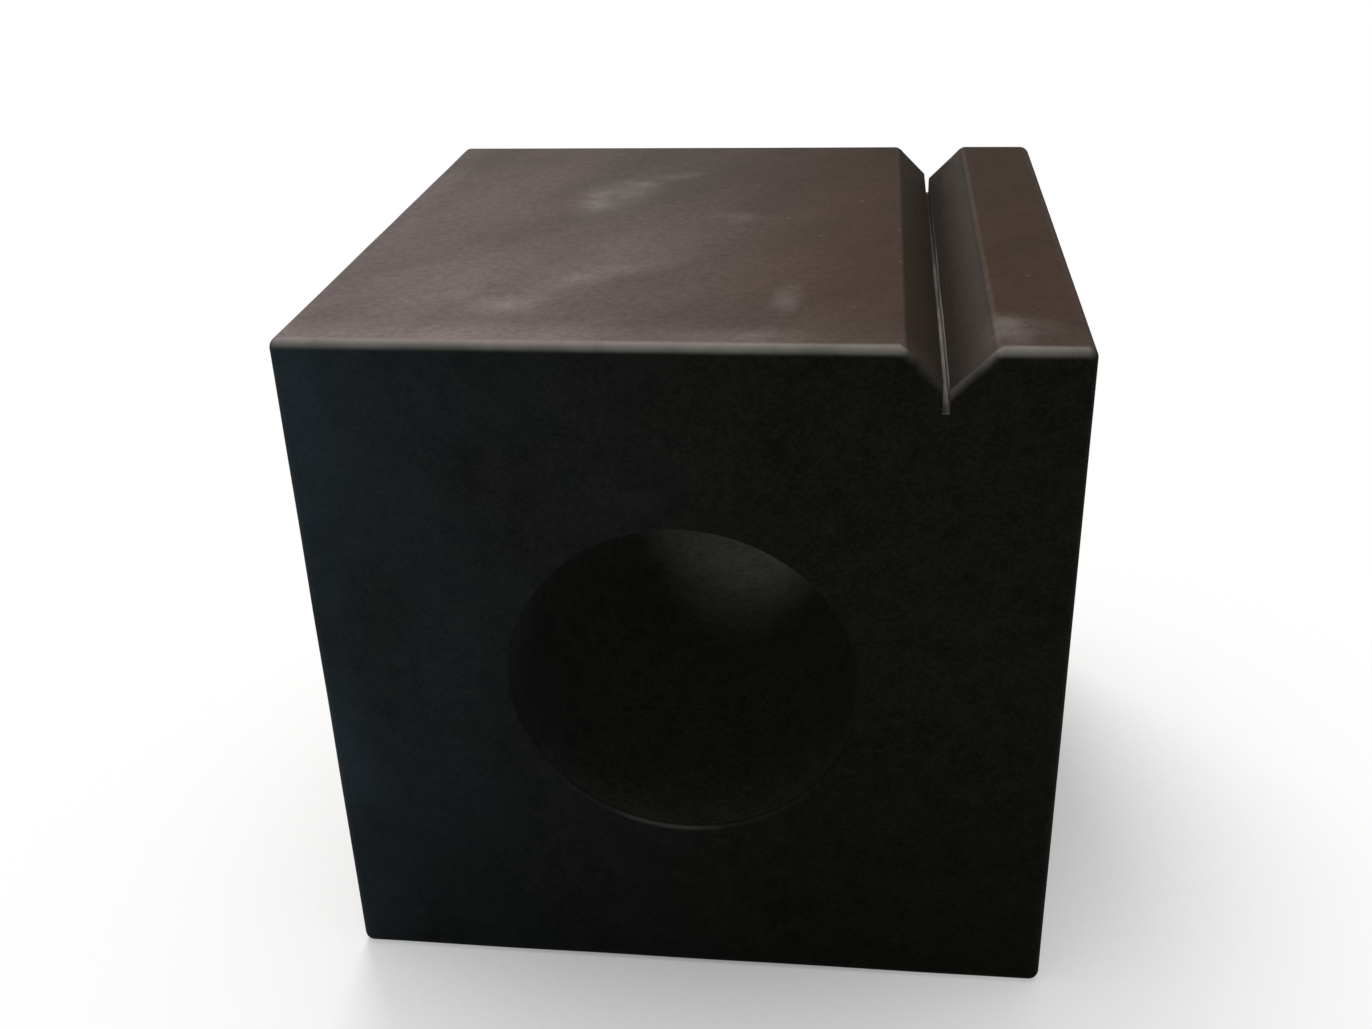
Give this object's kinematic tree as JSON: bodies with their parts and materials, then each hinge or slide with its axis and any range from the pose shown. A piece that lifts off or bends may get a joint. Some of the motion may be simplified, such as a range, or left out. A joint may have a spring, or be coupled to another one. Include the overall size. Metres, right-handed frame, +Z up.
{
  "type": "granite square box",
  "caption": "Ground black granite block with a large round through bore and a V-groove with a sawn relief slit along its top, for squaring and setting up work.",
  "frame": {"origin": "centre of the base, on the surface that the block stands on", "axes": "+X to the right seen from the front, towards the side that the groove is near; +Y to the back, along the bore and the groove; +Z up"},
  "size_m": [0.3, 0.3, 0.29],
  "materials": {
    "granite": "lapped black granite, satin"
  },
  "bodies": {
    "root": {"granite_block": "granite"}
  },
  "joints": []
}
